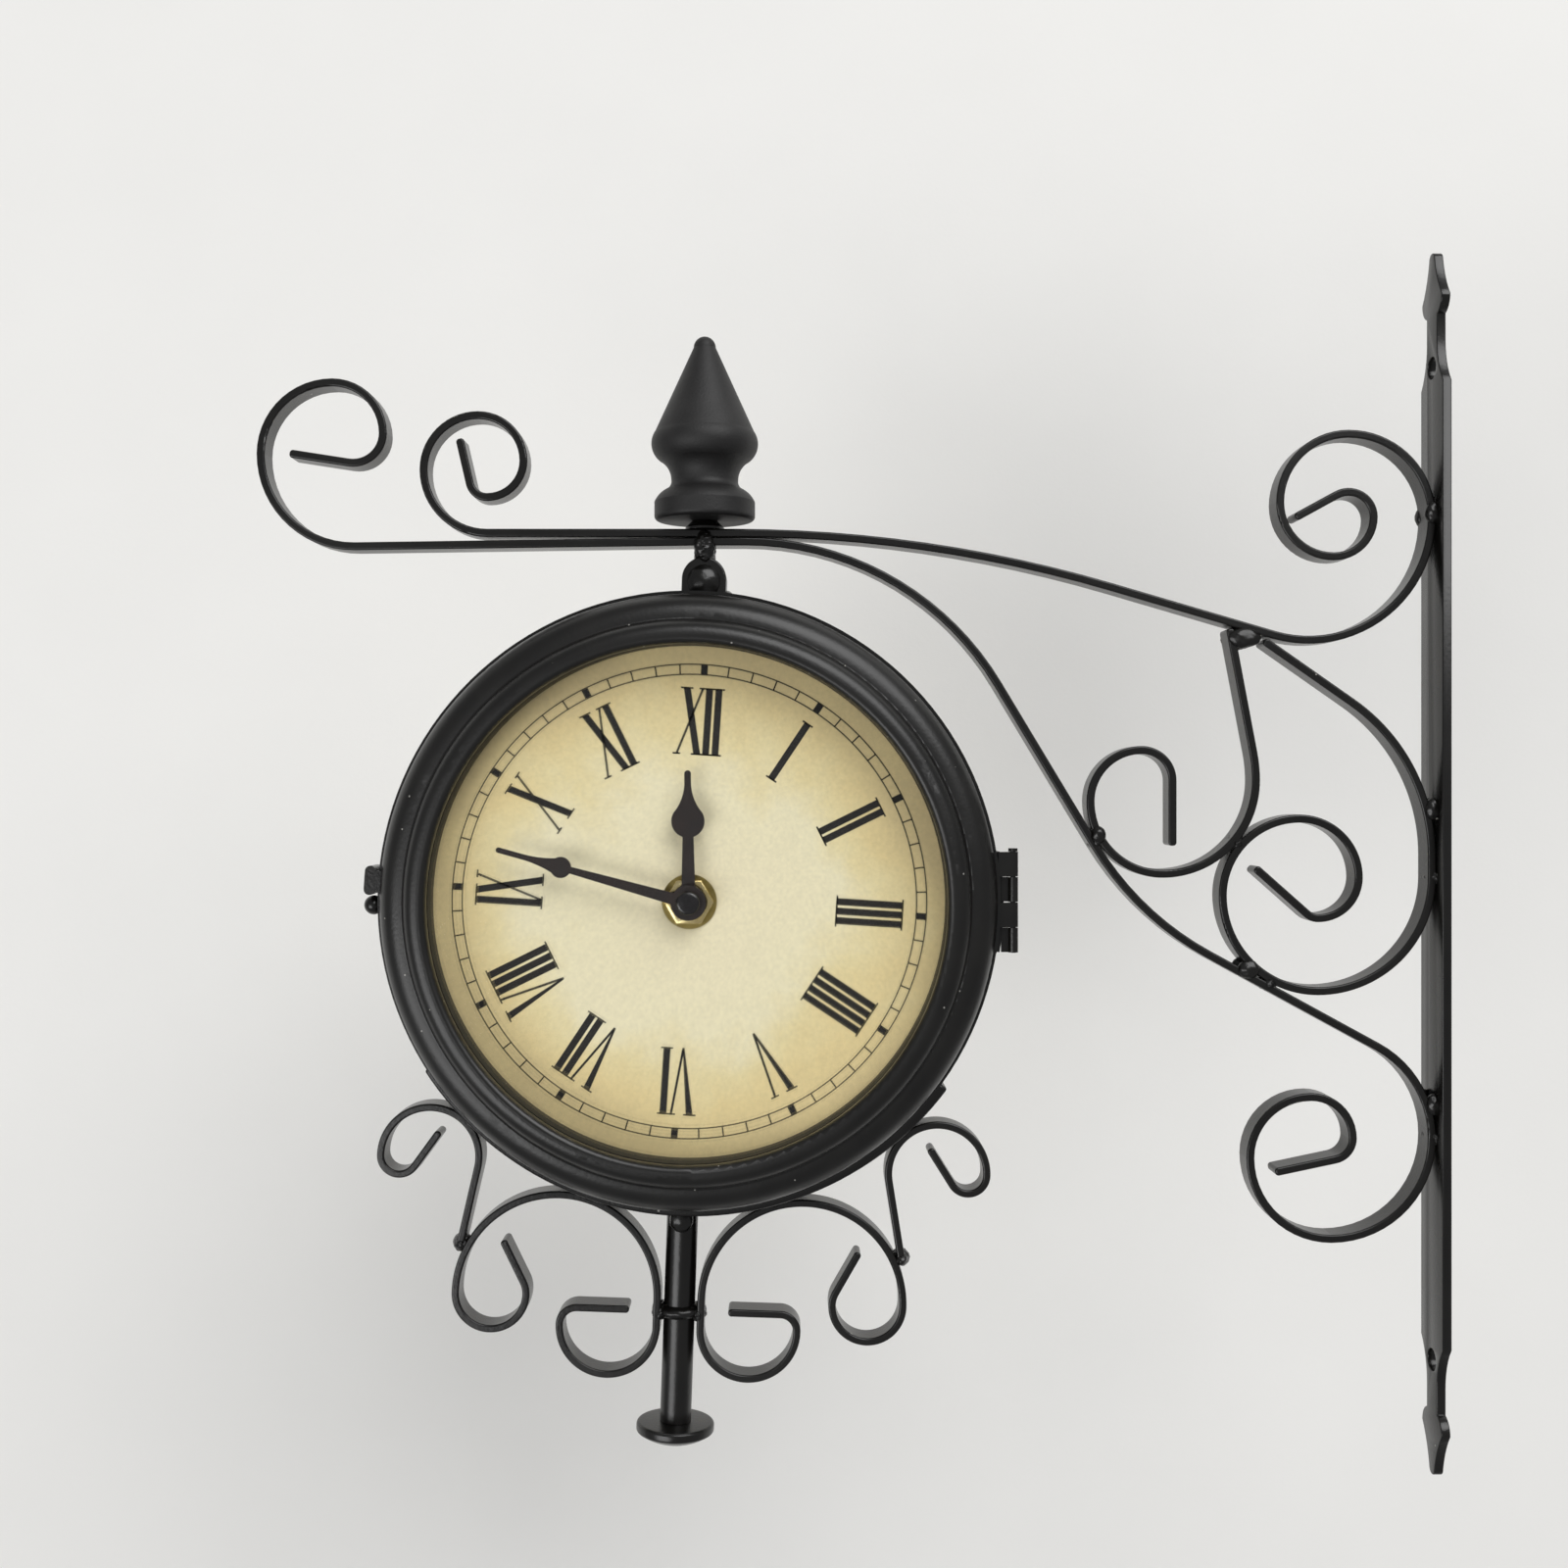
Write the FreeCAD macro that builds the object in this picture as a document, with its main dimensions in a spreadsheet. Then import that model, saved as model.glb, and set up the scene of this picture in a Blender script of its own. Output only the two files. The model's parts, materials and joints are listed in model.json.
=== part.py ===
import FreeCAD, Part
import math
import os
import re
from types import SimpleNamespace

# Double-sided wall clock on a scrolled flat-iron bracket.
# Millimetres, +Z up. X = 0 is the wall, the clock hangs towards -X and its front dial faces -Y.
# The origin lies midway between the two screw holes, on the back of the wall bar.
# Each dial side is made facing +Z of its own frame and is placed once at the front and once at the rear.

LENGTHS = {
    # Flat iron
    "strip_width": 8.0, "strip_thick": 2.2, "strip_corner": 0.9, "edge_round": 0.5,
    "scroll_width": 8.0, "scroll_thick": 2.0, "weld_gap": 0.15, "fit_gap": 0.1, "cut_overrun": 4.0,
    # Wall bar with a leaf at each end
    "bar_length": 330.0, "bar_width": 16.0, "bar_thick": 2.5, "hole_radius": 3.0,
    "shoulder_rise": 11.8, "neck_width": 7.4, "neck_length": 6.8, "leaf_rise": 4.7, "leaf_width": 14.3,
    "leaf_taper": 10.5, "leaf_hollow": 0.5, "tip_width": 4.0, "tip_rise": 2.0, "hole_rise": 4.8,
    # Upper arm strip
    "head_reach": 202.0, "arm_height": 89.0, "arm_curl_run": 58.3, "arm_curl_radius": 17.0,
    "arm_curl_step": 2.4, "arm_curl_end_radius": 4.7, "arm_curl_tail": 12.4, "arm_bend_run": 8.0,
    "arm_hook_radius": 33.0, "arm_hook_rise": 4.3, "arm_scroll_radius": 22.3, "arm_scroll_step": 3.9,
    "arm_scroll_tail": 12.6,
    # Lower brace strip
    "brace_curl_run": 92.8, "brace_curl_radius": 24.8, "brace_curl_step": 5.6, "brace_curl_tail": 16.0,
    "brace_bend_run": 11.2, "small_seat": 0.5, "knee_radius": 28.0,
    "knee_drop": 73.5, "brace_scroll_radius": 27.0, "brace_scroll_step": 5.3, "brace_scroll_tail": 16.6,
    # Heart scroll and small scroll inside the bracket
    "heart_drop": 3.5, "heart_bar_run": 6.0, "heart_bend_radius": 50.0, "heart_radius": 30.5, "heart_step": 4.9,
    "heart_end_radius": 4.5, "heart_tail": 18.6,
    "small_nook": 19.54, "small_bend_radius": 40.0, "small_radius": 25.0, "small_step": 5.6,
    "small_tail": 17.5,
    # Weld beads
    "bead_radius": 2.4, "bead_proud": 0.6, "neck_bead_width": 2.9, "neck_bead_height": 4.8,
    "neck_bead_depth": 2.2, "neck_bead_drop": 1.6,
    # Hanger and finial
    "lug_height": 11.2, "lug_width": 11.9, "lug_thick": 2.6, "lug_depth": 10.0, "bolt_radius": 2.0,
    "ball_radius": 3.2, "bolt_gap": 0.15, "collar_radius": 5.25, "collar_top_radius": 3.5,
    "collar_height": 2.4, "collar_edge": 0.6, "finial_height": 49.8, "finial_base_radius": 13.6,
    "finial_base_height": 5.0, "finial_base_round": 1.2, "finial_shoulder_radius": 10.4,
    "finial_shoulder_height": 8.4, "finial_neck_radius": 9.05, "finial_neck_height": 11.0,
    "finial_cove_radius": 12.3, "finial_cove_height": 16.4, "finial_belly_radius": 14.4,
    "finial_belly_height": 20.3, "finial_cone_radius": 13.4, "finial_cone_height": 24.0,
    "finial_tip_radius": 3.0, "finial_bore_depth": 9.5,
    # Case drum, cradle strap and lower ornament
    "dial_hang": 97.7, "drum_radius": 80.0, "drum_wall": 1.2, "drum_depth": 48.0, "strap_thick": 4.8,
    "strap_width": 16.0, "inner_radius": 27.1, "inner_offset": 33.0, "inner_run": 7.6,
    "inner_curl_radius": 13.0, "inner_end_radius": 4.6, "inner_tail": 14.0, "inner_top_radius": 9.5,
    "inner_top_end_radius": 7.0, "inner_top_tail": 12.5, "outer_radius": 13.2, "outer_end_radius": 5.0,
    "outer_tail": 11.5, "post_radius": 4.2, "post_drop": 141.7, "foot_radius": 10.5, "foot_rim": 2.4,
    "foot_dome": 3.4, "foot_edge": 0.5,
    # Dial board, its seat and its screws
    "dial_recess": 2.0, "dial_thick": 2.0, "dial_radius": 77.6, "seat_thick": 1.2, "seat_width": 8.7,
    "screw_circle": 74.0, "screw_radius": 1.05, "screw_head_radius": 2.2, "screw_head_height": 1.2,
    "screw_length": 3.2,
    # Quartz movement with its battery and setting knob
    "movement_width": 56.0, "movement_depth": 16.0, "movement_corner": 3.0, "movement_edge": 0.8,
    "bay_length": 52.0, "bay_height": 15.6, "bay_depth": 15.2, "bay_wall": 1.0, "cell_radius": 7.25,
    "cell_length": 49.0, "cell_edge": 0.6, "cell_cap_radius": 2.7, "cell_cap_length": 1.5,
    "contact_thick": 0.4, "contact_width": 9.0, "knob_radius": 4.4, "knob_height": 3.0, "knob_sink": 0.4,
    "knob_right": 10.0, "knob_up": 8.0, "knob_gap": 0.6, "knob_shaft_radius": 1.0, "knob_shaft_length": 3.4,
    "flute_radius": 0.6,
    # Stem, washers, nut and hands
    "stem_radius": 3.9, "stem_root": 5.2, "stem_proud": 0.6, "pipe_root": 1.0, "arbor_root": 0.6,
    "bore_clear": 0.4, "rubber_radius": 8.0, "rubber_thick": 0.8, "washer_radius": 7.1,
    "washer_thick": 0.6, "nut_flats": 11.1, "nut_thick": 2.2, "pipe_radius": 2.5, "arbor_radius": 1.6,
    "run_gap": 0.08, "press_gap": 0.02, "hand_thick": 0.4, "hand_lift": 0.8, "hand_space": 1.4,
    "pipe_proud": 0.4, "arbor_proud": 0.6, "hub_radius": 4.5, "hour_length": 33.8, "hour_root_width": 3.5,
    "hour_waist_width": 2.8, "hour_bulb_radius": 4.25, "hour_bulb_place": 20.8, "hour_tip_radius": 0.85,
    "hour_tip_run": 3.6, "minute_length": 50.8, "minute_root_width": 3.0, "minute_waist_width": 1.75,
    "minute_bulb_radius": 2.7, "minute_bulb_place": 33.7, "minute_tip_radius": 0.7, "minute_tip_run": 7.5,
    "cap_radius": 3.8, "cap_height": 1.9, "cap_round": 0.7,
    # Door: pressed bezel, flat glass and the ring that holds the glass
    "door_gap": 0.3, "bezel_radius": 79.0, "bezel_sheet": 0.8, "bezel_rim": 1.0, "roll_radius": 6.2,
    "cove_radius": 1.0, "cove_rise": 0.8, "crown_radius": 3.6, "crown_flat": 0.6, "lip_radius": 1.2,
    "lip_depth": 1.4, "sheet_round": 0.25, "glass_lap": 3.55, "glass_thick": 2.05, "glass_edge": 0.3,
    "ring_radius": 65.8, "ring_wall": 0.8, "ring_lap": 6.5, "ring_flange": 0.85, "ring_lift": 1.5,
    # Hinge and latch
    "hinge_reach": 83.2, "knuckle_radius": 1.3, "knuckle_length": 6.3, "knuckle_gap": 0.2,
    "pin_radius": 0.68, "pin_head_radius": 1.2, "pin_head": 0.8, "leaf_thick": 0.8, "leaf_depth": 9.5,
    "door_leaf_depth": 1.3, "leaf_gap": 0.5, "web_thick": 1.2, "tab_thick": 2.8, "tab_height": 7.5,
    "tab_lift": 1.9, "tab_depth": 8.0, "tab_gap": 0.4, "stud_radius": 2.5, "stud_lift": 1.8, "stud_drop": 1.0,
    "stud_depth": 4.0,
}
ANGLES = {
    "arm_curl_end_turn": 77.0, "arm_scroll_end_turn": 118.7, "brace_fall": 0.8, "brace_curl_end_turn": 98.8,
    "arm_fall": 16.354, "brace_slope": 59.0, "brace_scroll_end_turn": 78.0, "heart_bend_turn": 55.0, "heart_end_turn": 41.6,
    "small_bend_turn": 10.7, "head_swing": 2.0, "strap_half_turn": 55.2, "inner_top_end_turn": 28.0, "outer_place_turn": 46.6,
    "outer_foot_turn": 26.0, "outer_end_turn": 146.0, "cove_turn": 75.0, "hour_turn": 0.4, "minute_turn": 74.4,
}
SIDES = ("front", "rear")
KNUCKLES = 4
SCREWS = 3
FLUTES = 12
NUT_CORNERS = 6
CURL_QUARTERS = 4
FULL = 360.0
STRAIGHT = 180.0
QUARTER = 90.0
SCOOP_SHARES = (0.22, 0.5)
FLARE_SHARES = (0.7, 0.35)
SHOULDER_SHARES = (0.41, 0.59)
NECK_SHARES = (0.78, 0.38)
COVE_SHARES = (0.23, 0.54)
ROUND_SHARES = (1 - math.sqrt(1 / 2), 1 - math.sqrt(1 / 2))
POINT_SHARES = (0.2, 0.42)

doc = FreeCAD.newDocument("DoubleSidedWallClock")
sheet = doc.addObject("Spreadsheet::Sheet", "Sizes")
for row, (alias, value) in enumerate({**LENGTHS, **ANGLES}.items(), 1):
    sheet.set(f"A{row}", alias)
    sheet.set(f"B{row}", str(value))
    sheet.setAlias(f"B{row}", alias)
doc.recompute()
size = SimpleNamespace(**{alias: float(sheet.get(alias)) for alias in {**LENGTHS, **ANGLES}})
subparts = {}


def vector(x, y, z=0.0):
    return FreeCAD.Vector(x, y, z)


def place(x=0.0, y=0.0, z=0.0, axis=(0, 0, 1), turn=0.0):
    return FreeCAD.Placement(vector(x, y, z), FreeCAD.Rotation(vector(*axis), turn))


def formula(text):
    """Turns the size names in a formula into the sheet's cells."""
    return re.sub(r"[a-z_]+", lambda found: "Sizes." + found.group(0), text)


def keep(thing, label):
    """Gives a finished piece the label that names its file."""
    thing.Label = label
    subparts[label] = thing


def solid(kind, name, where, **sizes):
    """Part primitive whose sizes follow the sheet."""
    thing = doc.addObject("Part::" + kind, name)
    for prop, text in sizes.items():
        thing.setExpression(prop, formula(text))
    thing.Placement = where
    return thing


def cut(base, tool, name):
    thing = doc.addObject("Part::Cut", name)
    thing.Base = base
    thing.Tool = tool
    return thing


def fuse(things, name):
    thing = doc.addObject("Part::MultiFuse", name)
    thing.Shapes = things
    return thing


def group(things, label):
    """Several separate solids of one kind under one label."""
    thing = doc.addObject("Part::Compound", label)
    thing.Links = things
    keep(thing, label)


# Plane drawing: points, tangent paths and closed outlines


def on_circle(centre, radius, angle):
    turn = math.radians(angle)
    return centre[0] + radius * math.cos(turn), centre[1] + radius * math.sin(turn)


def left_of(point, heading, distance):
    return on_circle(point, distance, heading + QUARTER)


def beside(point, start, heading):
    """How far a point lies to the left of a line."""
    normal = left_of((0, 0), heading, 1)
    return (point[0] - start[0]) * normal[0] + (point[1] - start[1]) * normal[1]


def bend_onto(start, centre, radius, fall):
    """Radius of a bend from a level run onto a falling line that touches a circle above it."""
    return (beside(centre, start, -fall) - radius) / (1 - math.cos(math.radians(fall)))


def between(start, end, share):
    return start[0] + (end[0] - start[0]) * share, start[1] + (end[1] - start[1]) * share


def within(corner, opposite, shares):
    """Point in the rectangle between two corners, given as shares of its sides."""
    return tuple(a + (b - a) * share for a, b, share in zip(corner, opposite, shares))


def common_tangent(centre, radius, other, other_radius):
    """Heading and length of the run between two circles; a circle on the run's left is positive."""
    gap = math.dist(centre, other)
    towards = math.degrees(math.atan2(other[1] - centre[1], other[0] - centre[0]))
    offset = other_radius - radius
    return towards - math.degrees(math.asin(offset / gap)), math.sqrt(gap ** 2 - offset ** 2)


def line(start, end):
    return Part.LineSegment(vector(*start), vector(*end))


def arc(start, middle, end):
    return Part.Arc(vector(*start), vector(*middle), vector(*end))


def circle(radius, centre=(0, 0)):
    return [Part.Circle(vector(*centre), vector(0, 0, 1), radius)]


def outline(*steps):
    """Closed outline. A step is the next corner, or a point on an arc and the arc's end."""
    shapes = []
    here = steps[0]
    for step in steps[1:]:
        curved = isinstance(step[0], tuple)
        shapes.append(arc(here, *step) if curved else line(here, step))
        here = step[1] if curved else step
    if here != steps[0]:
        shapes.append(line(here, steps[0]))
    return shapes


def dome(rim, height):
    """Arc from a rim to the axis of a turned piece, centred on that axis."""
    radius = (rim[0] ** 2 + height ** 2) / height / 2
    centre = (0, rim[1] + height - radius)
    half = math.degrees(math.asin(rim[0] / abs(radius))) / 2
    return on_circle(centre, abs(radius), math.copysign(QUARTER - half, height)), (0, rim[1] + height)


def round_corner(corner, inward, radius):
    """Quarter round at a corner, first level and then upright, or the other way about."""
    return within(corner, (corner[0] + inward[0] * radius, corner[1] + inward[1] * radius), ROUND_SHARES)


def rounded_square(width, corner):
    steps = []
    for quarter in range(4):
        start = quarter * QUARTER
        centre = on_circle((0, 0), (width / 2 - corner) * math.sqrt(2), start + QUARTER / 2)
        first, middle, last = [on_circle(centre, corner, start + QUARTER * share) for share in (0, 1 / 2, 1)]
        steps += [first, (middle, last)]
    return outline(*steps)


def sector(near, far, start, end):
    """Part of a ring between two radii and two directions."""
    inner = [on_circle((0, 0), near, turn) for turn in (start, (start + end) / 2, end)]
    outer = [on_circle((0, 0), far, turn) for turn in (end, (start + end) / 2, start)]
    return outline(inner[0], (inner[1], inner[2]), outer[0], (outer[1], outer[2]))


class Path:
    """Centre-line of a bent strip: straight runs and tangent bends. A positive turn is to the left."""

    def __init__(self, start, heading):
        self.point = start
        self.heading = heading
        self.runs = []

    def straight(self, length):
        end = on_circle(self.point, length, self.heading)
        self.runs.append((self.point, self.heading, length, None))
        self.point = end
        return self

    def bend(self, radius, turn):
        centre = left_of(self.point, self.heading, math.copysign(radius, turn))
        self.runs.append((self.point, self.heading, radius, turn))
        self.heading += turn
        self.point = left_of(centre, self.heading, -math.copysign(radius, turn))
        return self

    def spiral(self, radius, step, quarters, sense):
        """Quarter turns, each of them smaller than the one before it by one step."""
        for quarter in range(quarters):
            self.bend(radius - quarter * step, sense * QUARTER)
        return self

    def joined(self, other):
        """This path walked backwards, and then the other one, which starts at the same point."""
        whole = Path(self.point, self.heading + STRAIGHT)
        for _, _, length, turn in reversed(self.runs):
            whole.straight(length) if turn is None else whole.bend(length, -turn)
        for _, _, length, turn in other.runs:
            whole.straight(length) if turn is None else whole.bend(length, turn)
        return whole

    def side(self, offset, trim):
        """Outline of one side, the two ends being held back for the rounded corners."""
        shapes = []
        for number, (start, heading, length, turn) in enumerate(self.runs):
            if turn is None:
                first = on_circle(start, trim if number == 0 else 0, heading)
                last = on_circle(start, length - trim if number == len(self.runs) - 1 else length, heading)
                shapes.append(line(left_of(first, heading, offset), left_of(last, heading, offset)))
            else:
                centre = left_of(start, heading, math.copysign(length, turn))
                reach = math.copysign(length, turn) - offset
                spots = [left_of(centre, heading + turn * share, -reach) for share in (0, 1 / 2, 1)]
                shapes.append(arc(*spots))
        return shapes

    def outline(self, thick, corner):
        """Closed outline of a strip along the path, which starts and ends with a straight run."""
        shapes = self.side(thick / 2, corner) + self.side(-thick / 2, corner)
        start, heading = self.runs[0][:2]
        for point, outward in ((self.point, self.heading), (start, heading + STRAIGHT)):
            tips = []
            for sense in (1, -1):
                centre = left_of(on_circle(point, -corner, outward), outward, sense * (thick / 2 - corner))
                spots = [on_circle(centre, corner, outward + sense * QUARTER * share) for share in (0, 1 / 2, 1)]
                shapes.append(arc(*spots))
                tips.append(spots[0])
            shapes.append(line(*tips))
        return shapes


# Solids from outlines


def sketched(name, plane, shapes):
    body = doc.addObject("PartDesign::Body", name)
    sketch = body.newObject("Sketcher::SketchObject", name + "_sketch")
    support = [feature for feature in body.Origin.OriginFeatures if feature.Role == plane]
    sketch.AttachmentSupport = [(support[0], "")]
    sketch.MapMode = "FlatFace"
    sketch.addGeometry(shapes, False)
    return body, sketch


def padded(name, shapes, length, where, plane="XY_Plane", centred=False, soft=None):
    """Outline given a thickness. The edges of its two flat faces are rounded where a radius is named."""
    body, sketch = sketched(name, plane, shapes)
    pad = body.newObject("PartDesign::Pad", name + "_pad")
    pad.Profile = sketch
    pad.setExpression("Length", formula(length))
    pad.SideType = "Symmetric" if centred else "One side"
    doc.recompute()
    if soft:
        axis = {"XY_Plane": vector(0, 0, 1), "XZ_Plane": vector(0, 1, 0)}[plane]
        faces = []
        for number, face in enumerate(pad.Shape.Faces, 1):
            flat = isinstance(face.Surface, Part.Plane)
            if flat and face.Surface.Axis.cross(axis).Length < Part.Precision.confusion():
                faces.append(f"Face{number}")
        fillet = body.newObject("PartDesign::Fillet", name + "_soft")
        fillet.Base = (pad, faces)
        fillet.setExpression("Radius", formula(soft))
    body.Placement = where
    return body


def turned(name, shapes, where):
    """Outline in the plane of radius and height, turned about the height axis."""
    body, sketch = sketched(name, "XZ_Plane", shapes)
    turn = body.newObject("PartDesign::Revolution", name + "_turn")
    turn.Profile = sketch
    turn.ReferenceAxis = (sketch, ["V_Axis"])
    turn.Angle = FULL
    body.Placement = where
    return body


def strip(name, path, thick, width, where):
    """Flat iron bent along a path in the plane of the bracket, its long edges eased."""
    shapes = path.outline(thick, size.strip_corner)
    return padded(name, shapes, width, where, "XZ_Plane", True, "edge_round")


def bead(name, spot, width):
    """Weld bead across a strip's edge, proud of it at the front and the back."""
    return solid("Ellipsoid", name, place(spot[0], 0, spot[1]), Radius1="bead_radius", Radius2="bead_radius",
                 Radius3=f"{width} / 2 + bead_proud", Angle1="0 - 90", Angle2="90", Angle3="360")


# The head hangs from the ball of its bolt, swung a little to one side

SWING = math.radians(size.head_swing)
ARCH = size.drum_radius + size.lug_height - size.lug_width / 2
NECK_X = -size.head_reach + ARCH * math.sin(SWING)
DIAL_Z = size.arm_height - size.dial_hang
BALL_Z = DIAL_Z + ARCH * math.cos(SWING)


def hung(x, z):
    """Spot of the swung head, measured from the middle of the drum."""
    return (-size.head_reach + x * math.cos(SWING) + z * math.sin(SWING),
            DIAL_Z + z * math.cos(SWING) - x * math.sin(SWING))


def hang(x=0.0, z=0.0):
    spot = hung(x, z)
    return place(spot[0], 0, spot[1], (0, 1, 0), size.head_swing)


# Bracket: the wall bar and four bent strips that touch each other and the bar


def make_wall_bar():
    half = size.bar_width / 2
    neck = size.neck_width / 2
    leaf = size.leaf_width / 2
    tip = size.tip_width / 2
    top = size.bar_length / 2
    tip_low = top - size.tip_rise
    belly = tip_low - size.leaf_taper
    neck_high = belly - size.leaf_rise
    neck_low = neck_high - size.neck_length
    shoulder = neck_low - size.shoulder_rise
    scoop = within((neck, neck_low), (half, shoulder), SCOOP_SHARES)
    flare = within((neck, neck_high), (leaf, belly), FLARE_SHARES)
    taper = between((leaf, belly), (tip, tip_low), 1 / 2)
    taper = (taper[0] - size.leaf_hollow, taper[1] - size.leaf_hollow)
    steps = []
    for up in (1, -1):
        def near(spot):
            return up * spot[0], up * spot[1]

        def far(spot):
            return -up * spot[0], up * spot[1]

        steps += [near((half, shoulder)), (near(scoop), near((neck, neck_low))), near((neck, neck_high)),
                  (near(flare), near((leaf, belly))), (near(taper), near((tip, tip_low))),
                  (near((0, top)), far((tip, tip_low))), (far(taper), far((leaf, belly))),
                  (far(flare), far((neck, neck_high))), far((neck, neck_low)),
                  (far(scoop), far((half, shoulder)))]
    shapes = outline(*steps)
    for up in (1, -1):
        shapes += circle(size.hole_radius, (0, up * (shoulder + size.hole_rise)))
    keep(padded("wall_bar", shapes, "bar_thick", place(-size.bar_thick), "YZ_Plane"), "wall_bar")


def make_bracket():
    thick = size.strip_thick
    apart = thick + size.weld_gap
    face = -size.bar_thick - size.weld_gap - thick / 2
    seam = -size.bar_thick - size.weld_gap / 2
    lower = size.arm_height - thick - size.fit_gap

    def run_to(path, point, heading):
        """Straight run whose square end stops short of another strip's near face."""
        away = (path.point[0] - point[0], path.point[1] - point[1])
        normal = left_of((0, 0), heading, 1)
        distance = abs(away[0] * normal[0] + away[1] * normal[1])
        meet = math.radians(path.heading - heading)
        corner = thick / 2 * abs(math.cos(meet))
        return (distance - thick / 2 - size.weld_gap - corner) / abs(math.sin(meet))

    # Upper arm: level over the clock, down to the hook, up the bar and into the large top scroll
    neck = (NECK_X, size.arm_height)
    hook = (face - size.arm_hook_radius, size.arm_height + size.arm_hook_rise)
    curl = Path(neck, STRAIGHT).straight(size.arm_curl_run)
    curl.spiral(size.arm_curl_radius, size.arm_curl_step, CURL_QUARTERS, -1)
    curl.bend(size.arm_curl_end_radius, -size.arm_curl_end_turn).straight(size.arm_curl_tail)
    run = Path(neck, 0).straight(size.arm_bend_run)
    bend_radius = bend_onto(run.point, hook, size.arm_hook_radius, size.arm_fall)
    over = left_of(run.point, 0, -bend_radius)
    arm_slope, arm_run = common_tangent(over, -bend_radius, hook, size.arm_hook_radius)
    run.bend(bend_radius, arm_slope).straight(arm_run)
    arm_end = run.point
    run.bend(size.arm_hook_radius, QUARTER - arm_slope)
    run.spiral(size.arm_scroll_radius, size.arm_scroll_step, CURL_QUARTERS, 1)
    run.bend(size.arm_scroll_radius - CURL_QUARTERS * size.arm_scroll_step, size.arm_scroll_end_turn)
    arm = curl.joined(run.straight(size.arm_scroll_tail))

    # Heart scroll: its lower half first, because the brace lies against it
    heart_touch = (face, -size.heart_drop)
    heart_curl = Path(heart_touch, -QUARTER)
    heart_curl.spiral(size.heart_radius, size.heart_step, CURL_QUARTERS + 1, -1)
    heart_curl.bend(size.heart_end_radius, -size.heart_end_turn).straight(size.heart_tail)
    second_radius = size.heart_radius - size.heart_step
    third_radius = second_radius - size.heart_step
    second = (face - size.heart_radius, -size.heart_drop - size.heart_step)
    third = (second[0] - size.heart_step, second[1])

    # Lower brace: under the arm, down the slope, past the heart scroll to the knee and the bottom scroll
    low_neck = (NECK_X, lower)
    knee = (face - size.knee_radius, -size.knee_drop)
    low_slope, _ = common_tangent(second, second_radius + apart, knee, -size.knee_radius)
    knee_start = left_of(knee, low_slope, size.knee_radius)
    slope = -size.brace_slope
    run = Path(low_neck, 0).straight(size.brace_bend_run)
    bend_radius = bend_onto(run.point, third, third_radius + size.small_nook, size.brace_slope)
    curl = Path(low_neck, STRAIGHT).bend(bend_radius, size.brace_fall).straight(size.brace_curl_run)
    curl.bend(size.brace_curl_radius, -QUARTER - size.brace_fall)
    curl.spiral(size.brace_curl_radius - size.brace_curl_step, size.brace_curl_step, CURL_QUARTERS - 2, -1)
    curl.bend(size.brace_curl_radius - (CURL_QUARTERS - 1) * size.brace_curl_step, -size.brace_curl_end_turn)
    curl.straight(size.brace_curl_tail)
    slope_start = run.bend(bend_radius, slope).point
    turn = math.radians(low_slope - slope)
    reach = beside(slope_start, knee_start, low_slope) / math.sin(turn)

    # The small scroll lies against the brace's slope and against the heart scroll
    inner = size.small_radius - size.small_step
    start = left_of(slope_start, slope, inner + apart)
    start = (start[0], start[1] + size.small_step)
    along = on_circle((0, 0), 1, slope)
    away = (start[0] - third[0], start[1] - third[1])
    dot = away[0] * along[0] + away[1] * along[1]
    spread = third_radius + size.small_radius + apart
    slide = -dot - math.sqrt(dot ** 2 - away[0] ** 2 - away[1] ** 2 + spread ** 2)
    centre = (start[0] + along[0] * slide, start[1] + along[1] * slide)

    # The brace bends again past the small scroll
    valley_run = reach - slide - size.small_seat
    run.straight(slide + size.small_seat).bend(valley_run / math.tan(turn / 2), math.degrees(turn))
    run.straight(math.dist(run.point, knee_start)).bend(size.knee_radius, -QUARTER - low_slope)
    run.spiral(size.brace_scroll_radius, size.brace_scroll_step, CURL_QUARTERS, -1)
    run.bend(size.brace_scroll_radius - CURL_QUARTERS * size.brace_scroll_step, -size.brace_scroll_end_turn)
    brace = curl.joined(run.straight(size.brace_scroll_tail))

    # Small scroll: rises to the arm and curls in its nook
    small_side = (centre[0] + size.small_radius, centre[1])
    small_rise = Path(small_side, QUARTER).bend(size.small_bend_radius, size.small_bend_turn)
    small_rise.straight(run_to(small_rise, arm_end, arm_slope))
    small_curl = Path(small_side, -QUARTER).spiral(size.small_radius, size.small_step, CURL_QUARTERS, -1)
    small = small_rise.joined(small_curl.straight(size.small_tail))

    # The heart scroll's rise ends under the arm or beside the small scroll, whichever comes first
    heart_rise = Path(heart_touch, QUARTER).straight(size.heart_bar_run)
    heart_rise.bend(size.heart_bend_radius, size.heart_bend_turn)
    under_arm = run_to(heart_rise, arm_end, arm_slope)
    beside_small = run_to(heart_rise, small_rise.point, small_rise.heading)
    heart_rise.straight(min(under_arm, beside_small))
    heart = heart_rise.joined(heart_curl)

    for label, path in (("upper_arm_strip", arm), ("lower_brace_strip", brace)):
        body = strip(label + "_bent", path, thick, "strip_width", place())
        drill = solid("Cylinder", label + "_drill", place(neck[0], 0, lower - size.cut_overrun),
                      Radius="bolt_radius + bolt_gap", Height="strip_thick * 2 + cut_overrun * 2")
        keep(cut(body, drill, label), label)
    for label, path in (("heart_scroll_strip", heart), ("small_scroll_strip", small)):
        keep(strip(label, path, thick, "strip_width", place()), label)

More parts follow.
